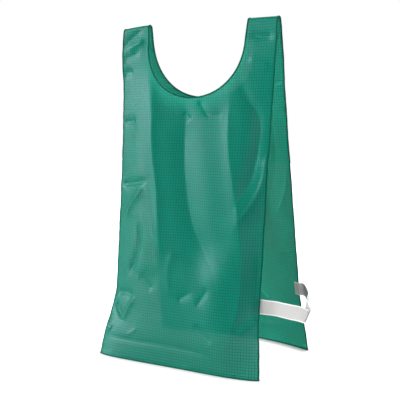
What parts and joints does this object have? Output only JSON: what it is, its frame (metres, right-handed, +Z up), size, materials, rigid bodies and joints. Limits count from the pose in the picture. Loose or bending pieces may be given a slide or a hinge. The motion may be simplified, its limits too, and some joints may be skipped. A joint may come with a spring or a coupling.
{
  "type": "mesh training bib",
  "caption": "Sleeveless net training bib of two joined panels with a deep round neck, bound edges and an elastic strap at each side.",
  "frame": {"origin": "on the floor under the middle of the bib's box, between its two hems", "axes": "+Z up from the hems to the shoulders, the front faces -Y, X runs across the bib"},
  "size_m": [0.5121, 0.2655, 0.635],
  "materials": {
    "net": "fine green nylon net with a slight satin sheen",
    "binding_tape": "dark green bound edge, 3 mm wide",
    "elastic": "white woven elastic, 25.4 mm wide"
  },
  "bodies": {
    "root": {"front_panel": "net", "back_panel": "net", "neck_binding": "binding_tape", "right_side_binding": "binding_tape", "left_side_binding": "binding_tape", "front_hem_binding": "binding_tape", "back_hem_binding": "binding_tape", "right_elastic": "elastic", "left_elastic": "elastic"}
  },
  "joints": []
}
